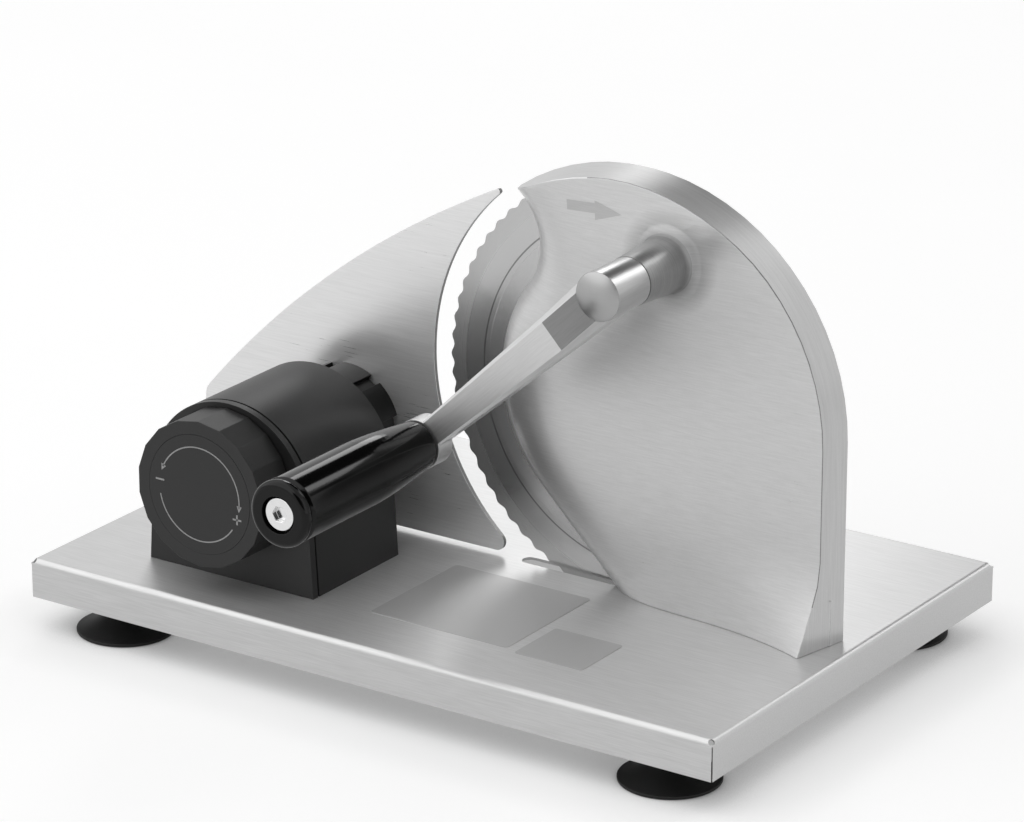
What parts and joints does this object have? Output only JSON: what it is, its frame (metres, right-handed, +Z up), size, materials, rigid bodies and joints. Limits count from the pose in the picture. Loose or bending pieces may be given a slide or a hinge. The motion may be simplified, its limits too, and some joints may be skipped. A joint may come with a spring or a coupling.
{
  "type": "hand-cranked bread slicer",
  "caption": "Hand-cranked table slicer: folded steel base on suction cups, geared serrated disc blade behind a sculpted cover, crank with grip, and a sliding thickness fence with a knob.",
  "frame": {"origin": "on the floor under the middle of the overall box", "axes": "+X along the base to the blade's end, +Y away from the crank's side, +Z up"},
  "size_m": [0.34, 0.2864, 0.2169],
  "materials": {
    "stainless_sheet": "brushed along the length",
    "blade_steel": "fine turned",
    "fence_aluminium": "fine brushed",
    "cast_aluminium": "satin blasted and anodised",
    "arm_aluminium": "brushed",
    "cap_aluminium": "polished",
    "black_gloss": "glossy",
    "housing_plastic": "satin",
    "knob_plastic": "fine matt grain",
    "dial_plastic": "fine matt grain",
    "sleeve_plastic": "satin",
    "white_nylon": "satin",
    "bearing_brass": "turned",
    "spring_steel": "blued",
    "cup_rubber": "soft matt",
    "bright_steel": "bright zinc plated"
  },
  "bodies": {
    "frame": {"base_plate": "stainless_sheet", "foot_front_left": "cup_rubber", "foot_front_right": "cup_rubber", "foot_back_left": "cup_rubber", "foot_back_right": "cup_rubber", "foot_weld_nuts": "bright_steel", "foot_studs": "bright_steel", "blade_cover": "cast_aluminium", "cover_screws": "bright_steel", "blade_axle": "bright_steel", "axle_washer": "bright_steel", "blade_retaining_screw": "bright_steel", "crank_bush_front": "bearing_brass", "crank_bush_rear": "bearing_brass", "adjuster_housing": "housing_plastic", "housing_screws": "bright_steel"},
    "blade_set": {"blade": "blade_steel", "blade_gear": "white_nylon", "blade_bush": "bearing_brass", "blade_screws": "bright_steel"},
    "crank": {"crank_shaft": "bright_steel", "crank_pinion": "bright_steel", "shaft_clip": "spring_steel", "crank_arm": "arm_aluminium", "crank_screw": "bright_steel", "crank_cap": "cap_aluminium", "grip_spindle": "bright_steel", "grip_washer": "bright_steel"},
    "grip_set": {"grip": "black_gloss", "grip_end_cap": "black_gloss"},
    "knob": {"adjuster_knob": "knob_plastic", "knob_dial": "dial_plastic", "knob_screw": "bright_steel", "adjuster_spindle": "bright_steel", "knob_washer": "white_nylon"},
    "fence": {"fence_plate": "fence_aluminium", "fence_carrier": "sleeve_plastic", "carrier_nut": "bearing_brass", "fence_screws": "bright_steel"}
  },
  "joints": [
    {"name": "crank_turn", "type": "hinge", "parent": "frame", "child": "crank", "pos_m": [0.08563, 0, 0.18466], "axis": [0, 1, 0], "continuous": true},
    {"name": "blade_spin", "type": "hinge", "parent": "frame", "child": "blade_set", "pos_m": [0.061, 0.0349, 0.117], "axis": [0, 1, 0], "continuous": true},
    {"name": "grip_spin", "type": "hinge", "parent": "crank", "child": "grip_set", "pos_m": [0.00769, -0.06, 0.11018], "axis": [0, 1, 0], "continuous": true},
    {"name": "knob_turn", "type": "hinge", "parent": "frame", "child": "knob", "pos_m": [-0.086, -0.05, 0.076], "axis": [0, 1, 0], "range_deg": [0, 300]},
    {"name": "fence_slide", "type": "slide", "parent": "frame", "child": "fence", "axis": [0, -1, 0], "range_m": [0, 0.02]}
  ],
  "couplings": [
    {"joint": "blade_spin", "follows": "crank_turn", "ratio": -0.33333},
    {"joint": "fence_slide", "follows": "knob_turn", "m_per_rad": 0.0038197}
  ]
}
